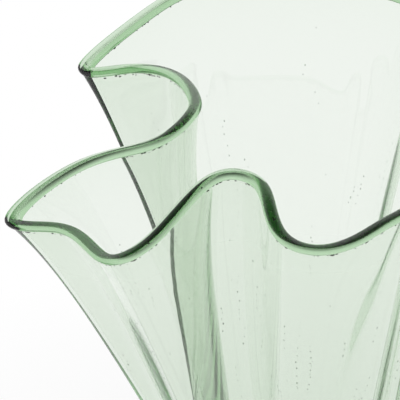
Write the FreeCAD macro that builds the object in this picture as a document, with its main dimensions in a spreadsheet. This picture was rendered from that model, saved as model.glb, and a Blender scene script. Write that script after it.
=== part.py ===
import FreeCAD, Part
import math
import os
import Sketcher

# Fan vase: a thin glass wall let down into deep upright folds, a thicker lip trailed
# round its rim, and a heavy flat pad that it stands on.
# The vase stands on z = 0 with its axis on Z. Lengths are in millimetres.

doc = FreeCAD.newDocument("fan_vase")

# Driving sizes
sheet = doc.addObject("Spreadsheet::Sheet", "sizes")
SIZES = (
    ("rim_height", 288, "height that the rise shares of the rim are taken of"),
    ("mouth_reach", 150, "distance from the axis that the reach shares are taken of"),
    ("blank_mouth_radius", 100, "mouth radius of the plain cone before it is folded"),
    ("wall_foot_radius", 42, "radius of the middle of the wall where it leaves the pad"),
    ("wall_thickness", 2.4, "thickness of the wall above its heavy foot"),
    ("wall_foot_thickness", 7, "thickness of the wall where it leaves the pad"),
    ("wall_rim_thickness", 5.2, "thickness of the wall where the lip sits on it"),
    ("lip_thickness", 6, "thickness of the lip"),
    ("lip_height", 3.5, "height of the lip above the wall"),
    ("floor_thickness", 6, "glass of the body above the pad, inside the vase"),
    ("pad_height", 14, "height of the pad under the body"),
    ("pad_foot_radius", 44, "radius of the flat that the vase stands on"),
    ("pad_edge_radius", 4, "rounding of the pad's lower edge"),
)
for row, (name, value, use) in enumerate(SIZES, start=1):
    sheet.set("A%d" % row, name)
    sheet.set("B%d" % row, str(value))
    sheet.set("C%d" % row, use)
    sheet.setAlias("B%d" % row, name)
doc.recompute()


def size(name):
    """Return one driving size as a plain number."""
    return float(sheet.get(name))


# Rim of the vase, seen from above and going round against the clock from the back left:
# bearing in degrees from +X, reach as a share of mouth_reach, rise as a share of rim_height.
# They are the control points of a closed cubic spline, so the rim passes just inside them.
RIM_SHARES = (
    # wide lobe at the back left and its sharp corner
    (113.5, 0.975, 0.995),
    (125.5, 0.950, 0.965),
    (153.0, 0.965, 0.915),
    (141.0, 0.770, 0.940),
    # deep fold at the left
    (146.0, 0.510, 0.980),
    (169.0, 0.375, 0.990),
    (183.0, 0.380, 0.995),
    (196.5, 0.520, 0.965),
    (187.5, 0.750, 0.942),
    # double lobe at the front left
    (203.5, 1.140, 0.902),
    (208.0, 0.840, 0.920),
    (226.0, 0.950, 0.918),
    (229.5, 0.760, 0.935),
    # fold at the front
    (223.5, 0.460, 0.990),
    (243.5, 0.405, 0.988),
    (252.0, 0.505, 0.984),
    # short lobe at the front
    (257.5, 0.640, 0.960),
    (268.5, 0.685, 0.955),
    (279.0, 0.647, 0.961),
    (288.5, 0.600, 0.975),
    (303.0, 0.585, 0.980),
    # fold at the front right
    (307.0, 0.470, 0.985),
    (320.0, 0.450, 0.988),
    # wide lobe at the right front
    (319.0, 0.700, 0.960),
    (325.0, 1.020, 0.925),
    (340.0, 1.100, 0.915),
    (346.0, 0.680, 0.965),
    # fold at the right
    (354.0, 0.390, 0.990),
    (365.0, 0.410, 0.985),
    # lobe at the right back
    (370.0, 0.660, 0.960),
    (374.0, 0.980, 0.930),
    (388.0, 1.010, 0.920),
    (391.0, 0.670, 0.965),
    # fold at the back right
    (396.0, 0.500, 0.985),
    (407.0, 0.560, 0.985),
    # wide lobe at the back
    (413.0, 0.820, 0.975),
    (427.0, 0.990, 0.970),
    (450.0, 0.935, 0.985),
)

# How the plain cone turns into folds on the way up
ruffle_power = 1.15
flare_share = 0.13
flare_power = 8
spread_share = 0.7

# Where the wall is thicker
foot_power = 1.6
rim_power = 12

# Lip section: rise as a share of lip_height, half width as a share of half lip_thickness,
# from the outside of the wall over the top to the inside.
LIP_SHARES = (
    (0.15, 1.10),
    (0.70, 1.10),
    (1.05, 0.60),
    (1.05, -0.60),
    (0.70, -1.10),
    (0.15, -1.10),
)

# How finely the glass surfaces are drawn
columns_per_point = 6
wall_spans = 16
nudge = 0.001
cubic_degree = 3
straight_degree = 1

full_turn = 360.0
even_step = full_turn / len(RIM_SHARES)


def rim_places():
    """Return the rim's control points as lists of x, y and z."""
    reach = [size("mouth_reach") * row[1] for row in RIM_SHARES]
    angle = [math.radians(row[0]) for row in RIM_SHARES]
    across = [r * math.cos(a) for r, a in zip(reach, angle)]
    along = [r * math.sin(a) for r, a in zip(reach, angle)]
    rise = [size("rim_height") * row[2] for row in RIM_SHARES]
    return across, along, rise


rim_x, rim_y, rim_z = rim_places()
lead = [row[0] - even_step * count for count, row in enumerate(RIM_SHARES)]
mean_lead = sum(lead) / len(lead)


def closed_spline(values, place):
    """Value of the closed cubic spline at a place counted in control points."""
    first = math.floor(place)
    part = place - first
    weights = (
        (1 - part) ** 3 / 6,
        (3 * part ** 3 - 6 * part ** 2 + 4) / 6,
        (1 + 3 * part + 3 * part ** 2 - 3 * part ** 3) / 6,
        part ** 3 / 6,
    )
    return sum(w * values[(first + k - 1) % len(values)] for k, w in enumerate(weights))


def wall_middle(place, level):
    """Point in the middle of the wall, with level 0 on the pad and 1 at the rim."""
    uneven = closed_spline(lead, place) - mean_lead
    bearing = math.radians(even_step * place + mean_lead + (1 - spread_share) * uneven)
    foot = size("wall_foot_radius")
    mouth = size("blank_mouth_radius")
    blank = foot + (mouth - foot) * level
    fold = (1 - flare_share) * level ** ruffle_power + flare_share * level ** flare_power
    pull_x = closed_spline(rim_x, place) - mouth * math.cos(bearing)
    pull_y = closed_spline(rim_y, place) - mouth * math.sin(bearing)
    x = blank * math.cos(bearing) + fold * pull_x
    y = blank * math.sin(bearing) + fold * pull_y
    z = size("pad_height") + level * (closed_spline(rim_z, place) - size("pad_height"))
    return FreeCAD.Vector(x, y, z)


def level_across(place, level):
    """Level step outwards that crosses one millimetre of glass."""
    low = max(level - nudge, 0)
    along = wall_middle(place + nudge, level) - wall_middle(place - nudge, level)
    upward = wall_middle(place, level + nudge) - wall_middle(place, low)
    normal = along.cross(upward).normalize()
    flat = FreeCAD.Vector(normal.x, normal.y, 0)
    return flat / flat.Length ** 2


def half_wall(level):
    """Half of the wall's thickness at a level."""
    plain = size("wall_thickness")
    at_foot = (size("wall_foot_thickness") - plain) * (1 - level) ** foot_power
    at_rim = (size("wall_rim_thickness") - plain) * level ** rim_power
    return (plain + at_foot + at_rim) / 2


def floor_level(place):
    """Level at which the inside of the wall meets the floor."""
    return size("floor_thickness") / (closed_spline(rim_z, place) - size("pad_height"))


def seam_level(place):
    """Level at which the wall ends and the lip begins."""
    return 1 - size("lip_height") / (closed_spline(rim_z, place) - size("pad_height"))


def wall_side(place, level, side):
    """Point on the outer (side 1) or inner (side -1) face of the wall."""
    return wall_middle(place, level) + level_across(place, level) * (side * half_wall(level))


def even_rows():
    """Shares from 0 to 1 at which a cubic surface clamped at both ends has its rows."""
    rows = [0, 1 / 3]
    rows.extend(range(1, wall_spans))
    rows.extend((wall_spans - 1 / 3, wall_spans))
    return [row / wall_spans for row in rows]


def drawn_through(ring):
    """Control points of a closed ring that passes through the given points."""
    points = []
    for k, point in enumerate(ring):
        around = ring[k - 1] + ring[(k + 1) % len(ring)]
        points.append(point * (4 / 3) - around / 6)
    return points


def ring_of(function):
    """Closed ring of control points, with function giving the point at each place."""
    count = len(RIM_SHARES) * columns_per_point
    return drawn_through([function(k / columns_per_point) for k in range(count)])


def closed_surface(rings, degree):
    """Surface that is closed round the axis, with rings of control points."""
    columns = [list(column) for column in zip(*rings)]
    spans = len(rings) - degree
    inner_knots = [1] * (spans - 1)
    surface = Part.BSplineSurface()
    surface.buildFromPolesMultsKnots(
        columns,
        [1] * (len(columns) + 1),
        [degree + 1] + inner_knots + [degree + 1],
        [float(knot) for knot in range(len(columns) + 1)],
        [float(knot) for knot in range(spans + 1)],
        True,
        False,
        cubic_degree,
        degree,
    )
    return surface


def end_disc(surface, knot):
    """Flat face that closes the end of a round surface."""
    return Part.Face(Part.Wire(surface.vIso(knot).toShape()))


def solid_from(faces):
    """Solid with its faces sewn together and turned outwards."""
    shell = Part.Shell(faces)
    shell.sewShape()
    solid = Part.Solid(Part.Shell(shell.Faces))
    if solid.Volume < 0:
        solid.reverse()
    return solid


# The rings where the lip meets the wall belong to both pieces.
seam_outside = ring_of(lambda place: wall_side(place, seam_level(place), 1))
seam_inside = ring_of(lambda place: wall_side(place, seam_level(place), -1))


def wall_surface(side, start):
    """Outer or inner face of the wall, from a starting level up to the lip."""
    seam = seam_outside if side > 0 else seam_inside
    rings = []
    for share in even_rows()[:-1]:
        rings.append(ring_of(lambda place: wall_side(
            place, start(place) + (seam_level(place) - start(place)) * share, side)))
    return closed_surface(rings + [seam], cubic_degree)


def body_shape():
    """Wall and floor of the vase in one piece of glass."""
    outside = wall_surface(1, lambda place: 0)
    inside = wall_surface(-1, floor_level)
    seam = closed_surface([seam_outside, seam_inside], straight_degree)
    return solid_from([
        outside.toShape(),
        inside.toShape(),
        seam.toShape(),
        end_disc(outside, 0.0),
        end_disc(inside, 0.0),
    ])


def lip_point(place, rise_share, width_share):
    """Point of the lip's section at a place round the rim."""
    level = seam_level(place) + (1 - seam_level(place)) * rise_share
    across = level_across(place, 1) * (width_share * size("lip_thickness") / 2)
    return wall_middle(place, level) + across


def lip_shape():
    """Thick lip that follows the rim and sits on the end of the wall."""
    rings = [seam_outside]
    for rise_share, width_share in LIP_SHARES:
        rings.append(ring_of(lambda place: lip_point(place, rise_share, width_share)))
    rings.append(seam_inside)
    seam = closed_surface([seam_outside, seam_inside], straight_degree)
    return solid_from([closed_surface(rings, cubic_degree).toShape(), seam.toShape()])


def add_piece(name, shape):
    """Put a shaped piece of glass in the document."""
    piece = doc.addObject("Part::Feature", name)
    piece.Label = name
    piece.Shape = shape
    piece.Placement = FreeCAD.Placement()
    return piece


def plane_of(body, role):
    """Origin plane or axis of a body, found by its role."""
    return next(item for item in body.Origin.OriginFeatures if item.Role == role)


def add_base_pad():
    """Round pad: a half section turned about the axis, with its lower edge rounded."""
    body = doc.addObject("PartDesign::Body", "base_pad")
    body.Label = "base_pad"
    sketch = body.newObject("Sketcher::SketchObject", "pad_section")
    sketch.AttachmentSupport = [(plane_of(body, "XZ_Plane"), "")]
    sketch.MapMode = "FlatFace"
    foot = size("pad_foot_radius")
    top = size("pad_height")
    corners = [
        FreeCAD.Vector(0, 0, 0),
        FreeCAD.Vector(foot, 0, 0),
        FreeCAD.Vector(foot, top, 0),
        FreeCAD.Vector(0, top, 0),
    ]
    for k, corner in enumerate(corners):
        sketch.addGeometry(Part.LineSegment(corner, corners[(k + 1) % len(corners)]), False)
    underside, side, seat, middle = range(len(corners))
    start, end = 1, 2
    origin = -1
    for first, second in ((underside, side), (side, seat), (seat, middle), (middle, underside)):
        sketch.addConstraint(Sketcher.Constraint("Coincident", first, end, second, start))
    sketch.addConstraint(Sketcher.Constraint("Coincident", underside, start, origin, start))
    sketch.addConstraint(Sketcher.Constraint("Horizontal", underside))
    sketch.addConstraint(Sketcher.Constraint("Horizontal", seat))
    sketch.addConstraint(Sketcher.Constraint("Vertical", middle))
    driven = (
        ("foot_radius", "DistanceX", underside, foot, "sizes.pad_foot_radius"),
        ("height", "DistanceY", side, top, "sizes.pad_height"),
        ("seat_radius", "DistanceX", seat, foot,
         "sizes.wall_foot_radius + sizes.wall_foot_thickness / 2"),
    )
    for name, kind, line, value, source in driven:
        ends = (line, end, line, start) if line == seat else (line, start, line, end)
        number = sketch.addConstraint(Sketcher.Constraint(kind, *ends, value))
        sketch.renameConstraint(number, name)
        sketch.setExpression("Constraints." + name, source)
    doc.recompute()
    turned = body.newObject("PartDesign::Revolution", "pad_turned")
    turned.Profile = sketch
    turned.ReferenceAxis = (sketch, ["V_Axis"])
    turned.Angle = full_turn
    doc.recompute()
    edges = turned.Shape.Edges
    lowest = min(range(len(edges)), key=lambda count: edges[count].BoundBox.ZMax)
    rounded = body.newObject("PartDesign::Fillet", "pad_edge")
    rounded.Base = (turned, ["Edge%d" % (lowest + 1)])
    rounded.setExpression("Radius", "sizes.pad_edge_radius")
    body.Tip = rounded
    doc.recompute()
    return body


pieces = [
    add_base_pad(),
    add_piece("vase_body", body_shape()),
    add_piece("lip_wrap", lip_shape()),
]
doc.recompute()

for item in doc.Objects:
    if "Invalid" in item.State or "Error" in item.State:
        raise RuntimeError("%s is in state %s" % (item.Name, item.State))
for piece in pieces:
    if piece.Shape.isNull() or not piece.Shape.isValid():
        raise RuntimeError("%s has no valid shape" % piece.Label)

os.makedirs("parts", exist_ok=True)
for piece in pieces:
    piece.Shape.exportStep("parts/%s.step" % piece.Label)
    box = piece.Shape.BoundBox
    print("%s: %d solid, volume %.0f, x %.2f to %.2f, y %.2f to %.2f, z %.2f to %.2f" % (
        piece.Label, len(piece.Shape.Solids), piece.Shape.Volume,
        box.XMin, box.XMax, box.YMin, box.YMax, box.ZMin, box.ZMax))
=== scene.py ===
import math
import random

import bmesh
import bpy
from bpy.props import FloatProperty, FloatVectorProperty, IntProperty, PointerProperty
from bpy.types import Operator, Panel, PropertyGroup
from bpy.utils import register_class, unregister_class
from mathutils import Matrix, Vector


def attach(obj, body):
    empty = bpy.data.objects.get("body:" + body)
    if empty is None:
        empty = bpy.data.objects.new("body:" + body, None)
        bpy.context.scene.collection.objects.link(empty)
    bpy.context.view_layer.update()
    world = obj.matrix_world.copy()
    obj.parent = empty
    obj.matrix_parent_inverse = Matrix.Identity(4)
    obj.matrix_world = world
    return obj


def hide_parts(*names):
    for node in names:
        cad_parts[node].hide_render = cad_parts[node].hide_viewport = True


bl_info = {
    "name": "Fan vase",
    "version": (1, 0, 0),
    "blender": (4, 5, 0),
    "location": "3D View > Sidebar > Fan vase",
    "description": "Blows a folded glass vase and lays out the plain studio around it",
    "category": "Add Mesh",
}

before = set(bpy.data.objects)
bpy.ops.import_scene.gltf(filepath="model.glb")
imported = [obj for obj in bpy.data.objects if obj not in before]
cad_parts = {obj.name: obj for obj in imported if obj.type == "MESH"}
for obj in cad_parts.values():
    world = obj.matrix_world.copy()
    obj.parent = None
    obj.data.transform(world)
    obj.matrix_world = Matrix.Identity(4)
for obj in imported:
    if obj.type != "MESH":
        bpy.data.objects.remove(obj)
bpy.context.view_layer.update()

FULL_TURN = 2 * math.pi
BODY = "root"

# Rim seen from above, against the clock from the back left: bearing in degrees from +X,
# reach as a share of mouth_reach, rise as a share of rim_height. They are the control
# points of a closed cubic spline.
RIM_SHARES = (
    # wide lobe at the back left and its sharp corner
    (113.5, 0.975, 0.995), (125.5, 0.950, 0.965), (153.0, 0.965, 0.915), (141.0, 0.770, 0.940),
    # deep fold at the left
    (146.0, 0.510, 0.980), (169.0, 0.375, 0.990), (183.0, 0.380, 0.995), (196.5, 0.520, 0.965),
    (187.5, 0.750, 0.942),
    # double lobe at the front left
    (203.5, 1.140, 0.902), (208.0, 0.840, 0.920), (226.0, 0.950, 0.918), (229.5, 0.760, 0.935),
    # fold at the front
    (223.5, 0.460, 0.990), (243.5, 0.405, 0.988), (252.0, 0.505, 0.984),
    # short lobe at the front
    (257.5, 0.640, 0.960), (268.5, 0.685, 0.955), (279.0, 0.647, 0.961), (288.5, 0.600, 0.975),
    (303.0, 0.585, 0.980),
    # fold at the front right
    (307.0, 0.470, 0.985), (320.0, 0.450, 0.988),
    # wide lobe at the right front
    (319.0, 0.700, 0.960), (325.0, 1.020, 0.925), (340.0, 1.100, 0.915), (346.0, 0.680, 0.965),
    # fold at the right
    (354.0, 0.390, 0.990), (365.0, 0.410, 0.985),
    # lobe at the right back
    (370.0, 0.660, 0.960), (374.0, 0.980, 0.930), (388.0, 1.010, 0.920), (391.0, 0.670, 0.965),
    # fold at the back right
    (396.0, 0.500, 0.985), (407.0, 0.560, 0.985),
    # wide lobe at the back
    (413.0, 0.820, 0.975), (427.0, 0.990, 0.970), (450.0, 0.935, 0.985),
)

# Lip section, from the outside of the wall over the top to the inside: rise as a share of
# the lip's height, half width as a share of half its thickness.
LIP_SHARES = (
    (0.15, 1.10), (0.70, 1.10), (1.05, 0.60), (1.05, -0.60), (0.70, -1.10), (0.15, -1.10),
)

# How the plain cone turns into folds on the way up, and where the wall is thicker
RUFFLE_POWER = 1.15
FLARE_SHARE = 0.13
FLARE_POWER = 8
SPREAD_SHARE = 0.7
FOOT_POWER = 1.6
# Small steps: along a place or a level, the air left at the lip's seam as a part of a level,
# and the distance in metres under which two points are one
NUDGE = 0.001
SEAM_GAP = 0.0002
HAIR = 0.00001

# Plain cone that the folds are made from. Its points move, so only its rows matter: heights of
# its two creases and its end, half of its thickness, and cuts below, between and above them.
CONE_LOW = 0.060
CONE_HIGH = 0.245
CONE_TOP = 0.283
CONE_HALF_WALL = 0.002
CONE_CUTS = (9, 22, 12)
TALL_EDGE = 0.03

# Plain ring that the lip is made from, and the part of its rise in which it leans with the wall
RING_RADIUS = 1.0
RING_UNIT = 0.01
RING_LEAN = 0.3
RING_COLUMN_PART = 4

# Faces round a bevel, the pad and the floor, and the step of the hollow under the pad: its
# radius and its depth as shares of the whole hollow's
BEVEL_STEPS = 6
PAD_STEPS = 192
FLOOR_STEPS = 96
HOLLOW_SHARES = (0.6, 0.75)

# How fine the slow waves are in each piece
WAVES = {"wall": 16.0, "lip": 30.0, "pad": 24.0}

# A grain: glass kept round it in radii, part of the room left that it may use, and how far it is
# drawn out along its way and across it
GRAIN_MARGIN = 1.5
GRAIN_ROOM = 0.8
GRAIN_LENGTHS = (1.0, 2.4)
GRAIN_WIDTHS = (0.8, 1.2)
BUBBLE_DRAW = 7
ASH_DRAW = 11

# Bubbles: levels of the top one of a string, radii in metres, how many hang in a string, how far
# they drift round the vase and the level steps between them
SEED_LEVELS = (0.15, 0.86)
SEED_RADII = (0.00018, 0.00038)
SEED_STRING = (1, 8)
SEED_DRIFT = 0.03
SEED_STEPS = (0.010, 0.022)

# Ash: grains in a cluster, their spread round the vase, level steps below the lip's seam and
# radii in metres, then the levels and the radius of the single specks
CLUSTER_GRAINS = (3, 9)
CLUSTER_SPREAD = 0.18
CLUSTER_DROPS = (0.0025, 0.0055)
CLUSTER_RADII = (0.0002, 0.0005)
SPECK_LEVELS = (0.3, 0.96)
SPECK_RADIUS = 0.0002

# Limits of how often light bends or mirrors in the glass, and passes clear faces
LIGHT_BOUNCES = 256
CLEAR_BOUNCES = 32


def length(name, default, description):
    """Setting that is a length in metres."""
    return FloatProperty(
        name=name, default=default, description=description, unit="LENGTH", precision=4)


class VaseSizes(PropertyGroup):
    """Sizes of the blown glass."""

    rim_height: length("Rim height", 0.288, "Height that the rises of the rim are shares of")
    mouth_reach: length("Mouth reach", 0.150, "Distance that the reaches of the rim are shares of")
    cone_mouth: length("Cone mouth", 0.100, "Mouth radius of the plain cone before it is folded")
    cone_foot: length("Cone foot", 0.042, "Radius of the middle of the wall on the pad")
    wall: length("Wall", 0.0024, "Thickness of the wall above its heavy foot")
    wall_at_foot: length("Wall at foot", 0.007, "Thickness of the wall where it leaves the pad")
    wall_at_rim: length("Wall at rim", 0.0052, "Thickness of the wall where the lip sits on it")
    rim_swell: FloatProperty(
        name="Rim swell", default=12, description="How suddenly the wall thickens towards the lip")
    lip: length("Lip", 0.006, "Thickness of the lip")
    lip_height: length("Lip height", 0.0035, "Height of the lip above the wall")
    floor: length("Floor", 0.006, "Glass between the pad and the inside of the vase")
    floor_round: length("Floor rounding", 0.009, "Rounding where the inside meets the floor")
    pad_height: length("Pad height", 0.014, "Height of the pad under the body")
    pad_foot: length("Pad foot", 0.044, "Radius of the flat that the vase stands on")
    pad_edge: length("Pad edge", 0.004, "Rounding of the pad's lower edge")
    pad_shoulder: length("Pad shoulder", 0.0015, "Rounding of the pad's upper edge")
    pontil: length("Pontil", 0.015, "Radius of the polished hollow under the pad")
    pontil_depth: length("Pontil depth", 0.0012, "Depth of the polished hollow under the pad")
    columns: IntProperty(name="Columns", default=720, description="Columns of faces round the wall")
    seeds: IntProperty(
        name="Seeds", default=200, description="Strings of small bubbles in the wall")
    specks: IntProperty(name="Specks", default=24, description="Specks of ash in the wall")
    clusters: IntProperty(
        name="Clusters", default=90, description="Clusters of specks along the foot of the lip")


class GlassColours(PropertyGroup):
    """Colours and surface of the glass."""

    tint: FloatVectorProperty(
        name="Tint", subtype="COLOR", size=3, default=(0.30, 0.62, 0.25), min=0, max=1,
        description="Colour that is left where light has gone far through the wall")
    depth: FloatProperty(
        name="Depth", default=22, min=0, description="How much light the wall takes in a metre")
    clearness: FloatVectorProperty(
        name="Clearness", subtype="COLOR", size=3, default=(0.900, 0.925, 0.893), min=0, max=1,
        description="Share of the light that the two faces of a wall let through")
    lip_tint: FloatVectorProperty(
        name="Lip tint", subtype="COLOR", size=3, default=(0.20, 0.60, 0.14), min=0, max=1,
        description="Colour that is left where light has gone far through the lip")
    lip_depth: FloatProperty(
        name="Lip depth", default=110, min=0, description="How much light the lip takes in a metre")
    ior: FloatProperty(name="IOR", default=1.5, description="How much the glass bends light")
    wave: length("Wave", 0.00002, "Height of the slow waves in the blown surface")
    haze: FloatProperty(
        name="Haze", default=0.05, subtype="FACTOR", description="Most roughness of the surface")


class StudioSettings(PropertyGroup):
    """Floor, light and camera."""

    floor_colour: FloatVectorProperty(
        name="Floor colour", subtype="COLOR", size=3, default=(0.93, 0.93, 0.93), min=0, max=1,
        description="Colour of the pale floor")
    floor_reach: length("Floor reach", 14.0, "Radius of the floor")
    sky: FloatProperty(name="Sky", default=1.0, description="Light level near the horizon")
    sky_top: FloatProperty(name="Sky overhead", default=0.10, description="Light level overhead")
    lens: FloatProperty(
        name="Lens", default=168.75, description="Focal length of the camera in millimetres")
    camera_place: FloatVectorProperty(
        name="Camera place", subtype="TRANSLATION", unit="LENGTH", size=3,
        default=(-0.0542, -0.7703, 0.7525), description="Where the camera stands")
    camera_tilt: FloatProperty(
        name="Camera tilt", subtype="ANGLE", unit="ROTATION", default=math.radians(56),
        description="Tilt of the camera, with 90 degrees level")


class Strand:
    """Value in a node tree that takes part in sums, each of which adds a Math node."""

    def __init__(self, tree, socket):
        self.tree = tree
        self.socket = socket

    def math(self, operation, *values):
        sockets = dict(enumerate(values))
        return self.tree.add("ShaderNodeMath", {"operation": operation}, sockets)

    def __add__(self, other):
        return self.math("ADD", self, other)

    def __sub__(self, other):
        return self.math("SUBTRACT", self, other)

    def __rsub__(self, other):
        return self.math("SUBTRACT", other, self)

    def __mul__(self, other):
        return self.math("MULTIPLY", self, other)


class Tree:
    """Node tree of one finish, with a method that adds any node."""

    def __init__(self, holder):
        holder.use_nodes = True
        self.nodes = holder.node_tree.nodes
        self.links = holder.node_tree.links
        self.nodes.clear()

    def add(self, kind, settings=None, sockets=None, output=0):
        node = self.nodes.new(kind)
        for name, value in (settings or {}).items():
            setattr(node, name, value)
        for name, value in (sockets or {}).items():
            if isinstance(value, Strand):
                self.links.new(value.socket, node.inputs[name])
            else:
                node.inputs[name].default_value = value
        return Strand(self, node.outputs[output]) if node.outputs else None


class Ruffle:
    """The plain blown cone let down into folds, worked out from the rim's shares."""

    def __init__(self, sizes):
        self.sizes = sizes
        self.count = len(RIM_SHARES)
        self.step = FULL_TURN / self.count
        bearings = [math.radians(row[0]) for row in RIM_SHARES]
        reaches = [sizes.mouth_reach * row[1] for row in RIM_SHARES]
        self.rim_x = [reach * math.cos(angle) for reach, angle in zip(reaches, bearings)]
        self.rim_y = [reach * math.sin(angle) for reach, angle in zip(reaches, bearings)]
        self.rim_z = [sizes.rim_height * row[2] for row in RIM_SHARES]
        self.lead = [angle - self.step * k for k, angle in enumerate(bearings)]
        self.mean_lead = sum(self.lead) / self.count
        self.columns = {}

    def column(self, place):
        """Direction of the plain cone, pull towards the rim and rim height at a place."""
        if place not in self.columns:
            first = math.floor(place)
            part = place - first
            weights = (
                (1 - part) ** 3 / 6,
                (3 * part ** 3 - 6 * part ** 2 + 4) / 6,
                (1 + 3 * part + 3 * part ** 2 - 3 * part ** 3) / 6,
                part ** 3 / 6,
            )

            def mean(values):
                return sum(w * values[(first + k - 1) % self.count] for k, w in enumerate(weights))

            uneven = mean(self.lead) - self.mean_lead
            bearing = self.step * place + self.mean_lead + (1 - SPREAD_SHARE) * uneven
            way = Vector((math.cos(bearing), math.sin(bearing), 0))
            pull = Vector((mean(self.rim_x), mean(self.rim_y), 0)) - way * self.sizes.cone_mouth
            self.columns[place] = way, pull, mean(self.rim_z)
        return self.columns[place]

    def middle(self, place, level):
        """Point in the middle of the wall, with level 0 on the pad and 1 at the rim."""
        way, pull, rim_z = self.column(place)
        sizes = self.sizes
        cone = sizes.cone_foot + (sizes.cone_mouth - sizes.cone_foot) * level
        fold = (1 - FLARE_SHARE) * level ** RUFFLE_POWER + FLARE_SHARE * level ** FLARE_POWER
        point = way * cone + pull * fold
        point.z = sizes.pad_height + level * (rim_z - sizes.pad_height)
        return point

    def along(self, place, level):
        """Direction of the wall round the vase."""
        return self.middle(place + NUDGE, level) - self.middle(place - NUDGE, level)

    def across(self, place, level):
        """Level step outwards that crosses one metre of glass."""
        low = max(level - NUDGE, 0)
        upward = self.middle(place, level + NUDGE) - self.middle(place, low)
        normal = self.along(place, level).cross(upward).normalized()
        flat = Vector((normal.x, normal.y, 0))
        return flat / flat.length_squared

    def half_wall(self, level):
        """Half of the wall's thickness at a level."""
        sizes = self.sizes
        at_foot = (sizes.wall_at_foot - sizes.wall) * (1 - level) ** FOOT_POWER
        at_rim = (sizes.wall_at_rim - sizes.wall) * level ** sizes.rim_swell
        return (sizes.wall + at_foot + at_rim) / 2

    def floor_level(self, place):
        """Level at which the inside of the wall meets the floor."""
        return self.sizes.floor / (self.column(place)[2] - self.sizes.pad_height)

    def seam_level(self, place):
        """Level at which the wall ends and the lip begins."""
        return 1 - self.sizes.lip_height / (self.column(place)[2] - self.sizes.pad_height)

    def face_point(self, place, level, side):
        """Point on the outer (side 1) or inner (side -1) face of the wall."""
        shift = self.across(place, level) * (side * self.half_wall(level))
        return self.middle(place, level) + shift

    def place_of(self, point):
        """Place round the vase of a point of the plain cone."""
        angle = math.atan2(point.y, point.x) % FULL_TURN
        return round(angle / self.step, 6) % self.count


def spun(bm, steps):
    """Turn a half section into a closed shell whose faces point outwards."""
    bmesh.ops.spin(
        bm, geom=bm.verts[:] + bm.edges[:], cent=(0, 0, 0), axis=(0, 0, 1), dvec=(0, 0, 0),
        angle=FULL_TURN, steps=steps, use_merge=True, use_normal_flip=False, use_duplicate=False)
    bmesh.ops.remove_doubles(bm, verts=bm.verts[:], dist=HAIR / 10)
    bmesh.ops.recalc_face_normals(bm, faces=bm.faces[:])


def line(bm, points, closed=False):
    """Half section: a line of edges through the points of the XZ plane."""
    verts = [bm.verts.new((x, 0, z)) for x, z in points]
    edges = [bm.edges.new(pair) for pair in zip(verts, verts[1:])]
    if closed:
        edges.append(bm.edges.new((verts[-1], verts[0])))
    return edges


def rings_at(bm, radius, z):
    """Edges that run round the axis at a radius and a height."""
    def on_it(vert):
        return abs(math.hypot(vert.co.x, vert.co.y) - radius) < HAIR and abs(vert.co.z - z) < HAIR
    return [edge for edge in bm.edges if all(on_it(vert) for vert in edge.verts)]


def finished(bm, name, material, sharp=()):
    """Make an object of a bmesh, smooth apart from the sharp edges."""
    for face in bm.faces:
        face.smooth = True
    for edge in sharp:
        edge.smooth = False
    mesh = bpy.data.meshes.new(name)
    bm.to_mesh(mesh)
    bm.free()
    mesh.materials.append(material)
    piece = bpy.data.objects.new(name, mesh)
    bpy.context.scene.collection.objects.link(piece)
    return piece


def glass(name, colours, wave_size, tint, depth):
    """Clear tinted glass with slow waves and a faint uneven polish."""
    material = bpy.data.materials.new(name)
    tree = Tree(material)
    coordinates = tree.add("ShaderNodeTexCoord", output=3)
    stretched = tree.add(
        "ShaderNodeMapping", {}, {"Vector": coordinates, "Scale": (1, 1, 0.35)})
    waves = tree.add(
        "ShaderNodeTexNoise", {}, {"Vector": stretched, "Scale": wave_size, "Detail": 1.0})
    smears = tree.add(
        "ShaderNodeTexNoise", {}, {"Vector": stretched, "Scale": 60.0, "Detail": 3.0})
    polish = (smears - 0.5) * (2 * colours.haze)
    bump = tree.add(
        "ShaderNodeBump", {}, {"Height": waves, "Strength": 1.0, "Distance": colours.wave})
    shader = tree.add("ShaderNodeBsdfPrincipled", {}, {
        "Base Color": (*colours.clearness, 1),
        "Roughness": tree.add(
            "ShaderNodeClamp", {}, {"Value": polish, "Min": 0.0, "Max": colours.haze}),
        "IOR": colours.ior,
        "Transmission Weight": 1.0,
        "Normal": bump,
    })
    body = tree.add("ShaderNodeVolumeAbsorption", {}, {
        "Color": (*tint, 1), "Density": depth})
    tree.add("ShaderNodeOutputMaterial", {}, {"Surface": shader, "Volume": body})
    return material


def upright(ruffle, place, level, step=0.01):
    """The way up the middle of the wall at a place and a level."""
    return ruffle.middle(place, level + step) - ruffle.middle(place, level - step)


def add_grain(bm, ruffle, chance, place, level, radius, way):
    """Small ball in the glass of the wall, at a place and a level, drawn out along a way."""
    room = (ruffle.half_wall(level) - radius * GRAIN_MARGIN) * GRAIN_ROOM
    centre = ruffle.middle(place, level)
    centre += ruffle.across(place, level) * chance.uniform(-room, room)
    turn = way.normalized().to_track_quat("X", "Z").to_matrix().to_4x4()
    stretch = Matrix.Diagonal(
        (chance.uniform(*GRAIN_LENGTHS), 1, chance.uniform(*GRAIN_WIDTHS), 1))
    bmesh.ops.create_icosphere(
        bm, subdivisions=1, radius=radius, matrix=Matrix.Translation(centre) @ turn @ stretch)


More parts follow.
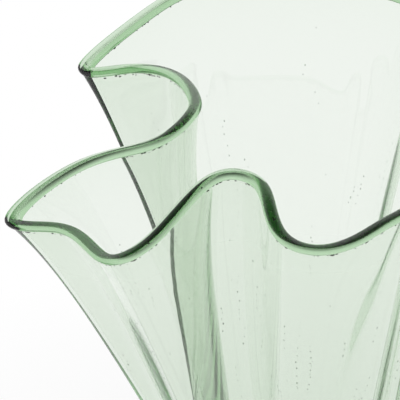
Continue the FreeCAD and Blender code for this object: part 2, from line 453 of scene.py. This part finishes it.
def blow_seeds(bm, ruffle, chance, strings):
    """Shut strings of small bubbles in the wall, each a hollow whose faces look inwards."""
    hollows = bmesh.new()
    for _ in range(strings):
        place = chance.uniform(0, ruffle.count)
        level = chance.uniform(*SEED_LEVELS)
        for _ in range(chance.randint(*SEED_STRING)):
            if level < SEED_LEVELS[0]:
                break
            way = upright(ruffle, place, level)
            add_grain(hollows, ruffle, chance, place, level, chance.uniform(*SEED_RADII), way)
            place += chance.gauss(0, SEED_DRIFT)
            level -= chance.uniform(*SEED_STEPS)
    bmesh.ops.reverse_faces(hollows, faces=hollows.faces[:])
    mesh = bpy.data.meshes.new("hollows")
    hollows.to_mesh(mesh)
    hollows.free()
    bm.from_mesh(mesh)
    bpy.data.meshes.remove(mesh)


class PlainCone:
    """The plain thick-footed cone, before it is let down into folds."""

    def __init__(self, sizes):
        self.sizes = sizes
        self.foot = sizes.pad_height
        self.floor = self.foot + sizes.floor
        self.slope = (sizes.cone_mouth - sizes.cone_foot) / (CONE_TOP - self.foot)

    def radius(self, z):
        """Radius of the middle of the wall at a height."""
        return self.sizes.cone_foot + self.slope * (z - self.foot)

    def section(self):
        """Half section, from the axis under the foot round the wall to the floor inside."""
        outside = [(z, CONE_HALF_WALL) for z in (self.foot, CONE_LOW, CONE_HIGH, CONE_TOP)]
        inside = [(z, -CONE_HALF_WALL) for z in (CONE_TOP, CONE_HIGH, CONE_LOW, self.floor)]
        wall = [(self.radius(z) + half, z) for z, half in outside + inside]
        return [(0, self.foot), *wall, (0, self.floor)]

    def mesh(self):
        """The cone spun and cut into rows, as a bmesh."""
        bm = bmesh.new()
        line(bm, self.section())
        spun(bm, self.sizes.columns)
        bmesh.ops.bevel(
            bm, geom=rings_at(bm, self.radius(self.floor) - CONE_HALF_WALL, self.floor),
            affect="EDGES", offset=self.sizes.floor_round, segments=BEVEL_STEPS, profile=0.5,
            material=-1)
        heights = (self.foot, CONE_LOW, CONE_HIGH, CONE_TOP)
        for start, end, cuts in zip(heights, heights[1:], CONE_CUTS):
            rows = [
                edge for edge in bm.edges
                if abs(edge.verts[0].co.z - edge.verts[1].co.z) > TALL_EDGE
                and start - HAIR <= min(v.co.z for v in edge.verts)
                and max(v.co.z for v in edge.verts) <= end + HAIR]
            bmesh.ops.subdivide_edges(bm, edges=rows, cuts=cuts, use_grid_fill=True)
        return bm

    def sharp_edges(self, bm):
        """Edges round the top of the wall and round its foot."""
        sharp = []
        for edge in bm.edges:
            radii = [math.hypot(vert.co.x, vert.co.y) for vert in edge.verts]
            at_top = all(vert.co.z > CONE_TOP - HAIR for vert in edge.verts)
            at_foot = all(vert.co.z < self.foot + HAIR for vert in edge.verts)
            on_side = all(radius > self.radius(self.foot) for radius in radii)
            if (at_top or (at_foot and on_side)) and abs(radii[0] - radii[1]) < HAIR:
                sharp.append(edge)
        return sharp

    def let_down(self, bm, ruffle):
        """Move every point of the cone to its place in the folded wall."""
        for vert in bm.verts:
            x, y, z = vert.co
            radius = math.hypot(x, y)
            place = ruffle.place_of(vert.co)
            seam = ruffle.seam_level(place) - SEAM_GAP
            outer = radius > self.radius(z) or z < self.foot + HAIR
            if outer:
                share = (z - self.foot) / (CONE_TOP - self.foot)
                level = share * seam
            else:
                share = max(z - self.floor, 0) / (CONE_TOP - self.floor)
                start = ruffle.floor_level(place)
                level = start + share * (seam - start)
            side = 1 if outer else -1
            face = ruffle.face_point(place, level, side)
            edge_radius = self.radius(z) + side * CONE_HALF_WALL
            inwards = min(radius / edge_radius, 1)
            vert.co = (face.x * inwards, face.y * inwards, face.z)


class FANVASE_OT_wall(Operator):
    """Blow the plain cone, let it down into folds and shut small bubbles in it"""

    bl_idname = "fanvase.wall"
    bl_label = "Wall"

    def execute(self, context):
        sizes = context.scene.fanvase_sizes
        colours = context.scene.fanvase_glass
        ruffle = Ruffle(sizes)
        cone = PlainCone(sizes)
        bm = cone.mesh()
        sharp = cone.sharp_edges(bm)
        cone.let_down(bm, ruffle)
        blow_seeds(bm, ruffle, random.Random(BUBBLE_DRAW), sizes.seeds)
        material = glass("wall glass", colours, WAVES["wall"], colours.tint, colours.depth)
        wall = finished(bm, "wall", material, sharp)
        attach(wall, BODY)
        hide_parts("vase_body")
        return {"FINISHED"}


class FANVASE_OT_specks(Operator):
    """Trap clusters of ash specks where the lip was laid on, and a few in the wall"""

    bl_idname = "fanvase.specks"
    bl_label = "Specks"

    def execute(self, context):
        sizes = context.scene.fanvase_sizes
        ruffle = Ruffle(sizes)
        chance = random.Random(ASH_DRAW)
        bm = bmesh.new()
        for _ in range(sizes.clusters):
            start = chance.uniform(0, ruffle.count)
            for _ in range(chance.randint(*CLUSTER_GRAINS)):
                place = start + chance.gauss(0, CLUSTER_SPREAD)
                level = ruffle.seam_level(place) - chance.uniform(*CLUSTER_DROPS)
                way = ruffle.along(place, level)
                add_grain(bm, ruffle, chance, place, level, chance.uniform(*CLUSTER_RADII), way)
        for _ in range(sizes.specks):
            place = chance.uniform(0, ruffle.count)
            level = chance.uniform(*SPECK_LEVELS)
            way = upright(ruffle, place, level)
            add_grain(bm, ruffle, chance, place, level, SPECK_RADIUS, way)
        specks = finished(bm, "specks", self.ash())
        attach(specks, BODY)
        return {"FINISHED"}

    @staticmethod
    def ash():
        """Dull dark grey-green, unevenly burnt."""
        material = bpy.data.materials.new("ash")
        tree = Tree(material)
        coordinates = tree.add("ShaderNodeTexCoord", output=3)
        burnt = tree.add(
            "ShaderNodeTexNoise", {}, {"Vector": coordinates, "Scale": 900.0, "Detail": 2.0})
        colour = tree.add("ShaderNodeMix", {"data_type": "RGBA"}, {
            "Factor": burnt, 6: (0.015, 0.025, 0.015, 1), 7: (0.09, 0.12, 0.08, 1)}, 2)
        shader = tree.add("ShaderNodeBsdfPrincipled", {}, {
            "Base Color": colour, "Roughness": burnt * 0.4 + 0.4})
        tree.add("ShaderNodeOutputMaterial", {}, {"Surface": shader})
        return material


def rounded_section(bm, creased_rings, levels=2):
    """Round off a spun section by subdivision, keeping the creased rings sharp."""
    layer = bm.edges.layers.float.new("crease_edge")
    for radius, z in creased_rings:
        for edge in rings_at(bm, radius, z):
            edge[layer] = 1
    mesh = bpy.data.meshes.new("section")
    bm.to_mesh(mesh)
    bm.free()
    helper = bpy.data.objects.new("section", mesh)
    bpy.context.scene.collection.objects.link(helper)
    modifier = helper.modifiers.new("round", "SUBSURF")
    modifier.levels = levels
    modifier.render_levels = levels
    modifier.boundary_smooth = "PRESERVE_CORNERS"
    smooth = helper.evaluated_get(bpy.context.evaluated_depsgraph_get())
    rounded = bmesh.new()
    rounded.from_mesh(smooth.to_mesh())
    smooth.to_mesh_clear()
    bpy.data.objects.remove(helper)
    bpy.data.meshes.remove(mesh)
    return rounded


class FANVASE_OT_lip(Operator):
    """Lay the thick rounded lip on the end of the wall"""

    bl_idname = "fanvase.lip"
    bl_label = "Lip"

    def execute(self, context):
        sizes = context.scene.fanvase_sizes
        ruffle = Ruffle(sizes)
        edge = ruffle.half_wall(1) / (sizes.lip / 2)
        section = [(0, edge), *LIP_SHARES, (0, -edge)]
        bm = bmesh.new()
        line(bm, [
            (RING_RADIUS + width * RING_UNIT, rise * RING_UNIT) for rise, width in section],
            closed=True)
        spun(bm, sizes.columns // RING_COLUMN_PART)
        creased = ((RING_RADIUS + edge * RING_UNIT, 0), (RING_RADIUS - edge * RING_UNIT, 0))
        bm = rounded_section(bm, creased)
        seams = [ring for place in creased for ring in rings_at(bm, *place)]
        for vert in bm.verts:
            place = ruffle.place_of(vert.co)
            rise = vert.co.z / RING_UNIT
            width = (math.hypot(vert.co.x, vert.co.y) - RING_RADIUS) / RING_UNIT
            seam = ruffle.seam_level(place) + SEAM_GAP
            level = seam + (1 - seam) * rise
            blend = min(rise / RING_LEAN, 1)
            across = ruffle.across(place, seam + (1 - seam) * blend)
            vert.co = ruffle.middle(place, level) + across * (width * sizes.lip / 2)
        colours = context.scene.fanvase_glass
        material = glass("lip glass", colours, WAVES["lip"], colours.lip_tint, colours.lip_depth)
        lip = finished(bm, "lip", material, seams)
        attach(lip, BODY)
        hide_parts("lip_wrap")
        return {"FINISHED"}


class FANVASE_OT_pad(Operator):
    """Press the round pad with its rounded edges and the polished hollow underneath"""

    bl_idname = "fanvase.pad"
    bl_label = "Pad"

    def execute(self, context):
        sizes = context.scene.fanvase_sizes
        seat = sizes.cone_foot + sizes.wall_at_foot / 2
        step, depth = sizes.pontil * HOLLOW_SHARES[0], sizes.pontil_depth * HOLLOW_SHARES[1]
        top = sizes.pad_height - HAIR
        bm = bmesh.new()
        line(bm, [
            (0, sizes.pontil_depth), (step, depth),
            (sizes.pontil, 0), (sizes.pad_foot, 0), (seat, top), (0, top)])
        spun(bm, PAD_STEPS)
        for radius, z, offset in (
                (sizes.pad_foot, 0, sizes.pad_edge), (seat, top, sizes.pad_shoulder),
                (sizes.pontil, 0, sizes.pontil_depth)):
            bmesh.ops.bevel(
                bm, geom=rings_at(bm, radius, z), affect="EDGES",
                offset=offset, segments=BEVEL_STEPS, profile=0.5, material=-1)
        colours = context.scene.fanvase_glass
        material = glass("pad glass", colours, WAVES["pad"], colours.tint, colours.depth)
        pad = finished(bm, "pad", material)
        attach(pad, BODY)
        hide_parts("base_pad")
        return {"FINISHED"}


class FANVASE_OT_studio(Operator):
    """Lay the pale floor, set the soft light and stand the camera at the photographed angle"""

    bl_idname = "fanvase.studio"
    bl_label = "Studio"

    def execute(self, context):
        studio = context.scene.fanvase_studio
        scene = context.scene
        self.lay_floor(studio)
        self.light_sky(scene, studio)
        self.stand_camera(scene, studio)
        scene.view_settings.view_transform = "Standard"
        scene.cycles.max_bounces = LIGHT_BOUNCES
        scene.cycles.transmission_bounces = LIGHT_BOUNCES
        scene.cycles.glossy_bounces = LIGHT_BOUNCES
        scene.cycles.transparent_max_bounces = CLEAR_BOUNCES
        scene.cycles.use_denoising = True
        return {"FINISHED"}

    @staticmethod
    def seen(tree):
        """One for the rays of the camera, of mirrors and of glass, otherwise nought."""
        names = ("Is Camera Ray", "Is Glossy Ray", "Is Transmission Ray")
        node = tree.add("ShaderNodeLightPath").socket.node
        camera, glossy, through = (Strand(tree, node.outputs[name]) for name in names)
        return camera.math("MAXIMUM", camera.math("MAXIMUM", camera, glossy), through)

    def lay_floor(self, studio):
        bm = bmesh.new()
        bmesh.ops.create_circle(bm, cap_ends=True, radius=studio.floor_reach, segments=FLOOR_STEPS)
        material = bpy.data.materials.new("pale floor")
        tree = Tree(material)
        coordinates = tree.add("ShaderNodeTexCoord", output=3)
        grain = tree.add(
            "ShaderNodeTexNoise", {}, {"Vector": coordinates, "Scale": 9.0, "Detail": 4.0})
        pale = tree.add("ShaderNodeMix", {"data_type": "RGBA"}, {
            "Factor": grain * 0.3, 6: (*studio.floor_colour, 1), 7: (0.90, 0.90, 0.90, 1)}, 2)
        board = tree.add("ShaderNodeBsdfDiffuse", {}, {"Color": pale})
        white = tree.add("ShaderNodeEmission", {}, {"Color": (1, 1, 1, 1), "Strength": 1.0})
        distance = tree.add("ShaderNodeVectorMath", {"operation": "LENGTH"}, {0: coordinates}, 1)
        share = tree.add("ShaderNodeMapRange", {}, {
            "Value": distance, "From Min": 0.05, "From Max": 0.30, "To Min": 0.85, "To Max": 1.0})
        mixed = tree.add("ShaderNodeMixShader", {}, {
            0: self.seen(tree) * share, 1: board, 2: white})
        tree.add("ShaderNodeOutputMaterial", {}, {"Surface": mixed})
        floor = finished(bm, "floor", material)

    def light_sky(self, scene, studio):
        world = bpy.data.worlds.new("sky")
        scene.world = world
        tree = Tree(world)
        way = tree.add("ShaderNodeTexCoord")
        rise = tree.add("ShaderNodeSeparateXYZ", {}, {0: way}, 2)
        darker = tree.add("ShaderNodeMapRange", {"interpolation_type": "SMOOTHSTEP"}, {
            "Value": rise, "From Min": 0.60, "From Max": 0.92,
            "To Min": studio.sky, "To Max": studio.sky_top})
        camera = tree.add("ShaderNodeLightPath")
        level = camera + (1 - camera) * darker
        shade = tree.add("ShaderNodeBackground", {}, {
            "Color": (1, 1, 1, 1), "Strength": level})
        tree.add("ShaderNodeOutputWorld", {}, {"Surface": shade})

    def stand_camera(self, scene, studio):
        data = bpy.data.cameras.new("camera")
        data.lens = studio.lens
        data.sensor_width = 36
        data.clip_end = 100
        camera = bpy.data.objects.new("camera", data)
        camera.location = studio.camera_place
        camera.rotation_euler = (studio.camera_tilt, 0, 0)
        scene.collection.objects.link(camera)
        scene.camera = camera


class FANVASE_PT_panel(Panel):
    """Sidebar panel with the steps in order"""

    bl_idname = "FANVASE_PT_panel"
    bl_label = "Fan vase"
    bl_space_type = "VIEW_3D"
    bl_region_type = "UI"
    bl_category = "Fan vase"

    def draw(self, context):
        for step in STEPS:
            self.layout.operator(step.bl_idname)
        for group in (
                context.scene.fanvase_sizes, context.scene.fanvase_glass,
                context.scene.fanvase_studio):
            box = self.layout.box()
            for name in group.__annotations__:
                box.prop(group, name)


STEPS = (
    FANVASE_OT_studio, FANVASE_OT_wall, FANVASE_OT_specks, FANVASE_OT_lip, FANVASE_OT_pad)
GROUPS = (
    ("fanvase_sizes", VaseSizes),
    ("fanvase_glass", GlassColours),
    ("fanvase_studio", StudioSettings),
)


def register():
    for name, group in GROUPS:
        register_class(group)
        setattr(bpy.types.Scene, name, PointerProperty(type=group))
    for item in (*STEPS, FANVASE_PT_panel):
        register_class(item)


def unregister():
    for item in reversed((*STEPS, FANVASE_PT_panel)):
        unregister_class(item)
    for name, group in reversed(GROUPS):
        delattr(bpy.types.Scene, name)
        unregister_class(group)


def main():
    """Build every piece in order."""
    register()
    bpy.ops.fanvase.studio()
    bpy.ops.fanvase.wall()
    bpy.ops.fanvase.specks()
    bpy.ops.fanvase.lip()
    bpy.ops.fanvase.pad()


if __name__ == "__main__":
    main()
